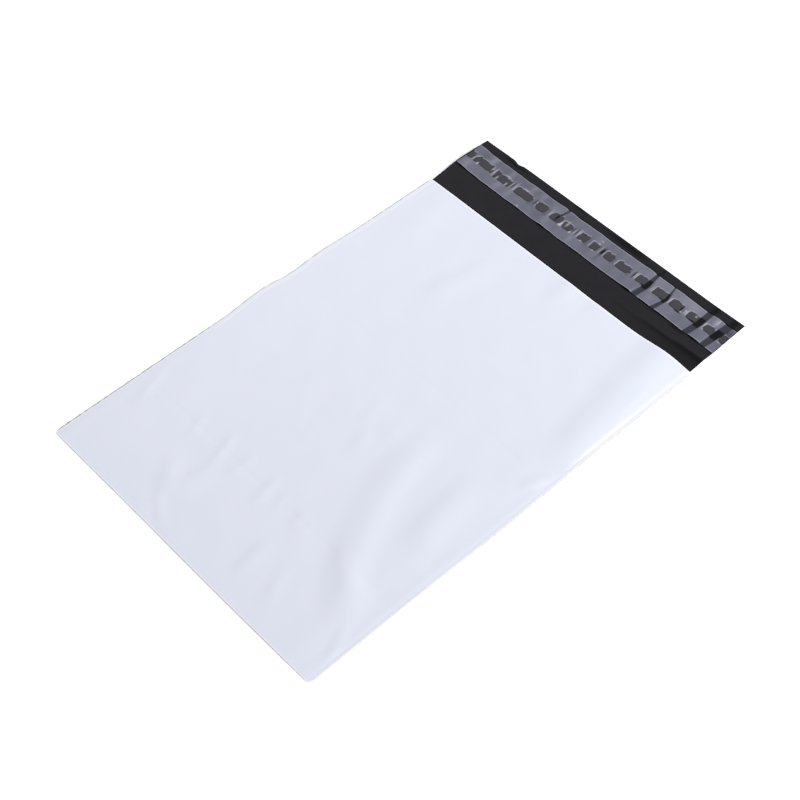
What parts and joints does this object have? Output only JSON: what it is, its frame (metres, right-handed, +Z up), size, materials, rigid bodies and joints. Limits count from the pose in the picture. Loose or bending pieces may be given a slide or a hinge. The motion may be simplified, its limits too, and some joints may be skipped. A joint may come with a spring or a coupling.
{
  "type": "poly mailer bag",
  "caption": "Flat film mailing bag, white outside and black inside, with welded sides, a folded bottom, and an open flap with adhesive under a release liner.",
  "frame": {"origin": "on the table, under the middle of the bag's length and width", "axes": "+Y along the bag from its bottom fold to the free edge of the flap, +Z up off the table, +X to the right"},
  "size_m": [0.19, 0.3066, 0.0022],
  "materials": {
    "film": "satin co-extruded polyethylene film, white outside and black inside",
    "adhesive": "clear glossy hot-melt adhesive over the black side of the film",
    "liner": "glossy grey release film, hazy and see-through"
  },
  "bodies": {
    "root": {"bag_film": "film", "adhesive_strip": "adhesive", "release_liner": "liner"}
  },
  "joints": []
}
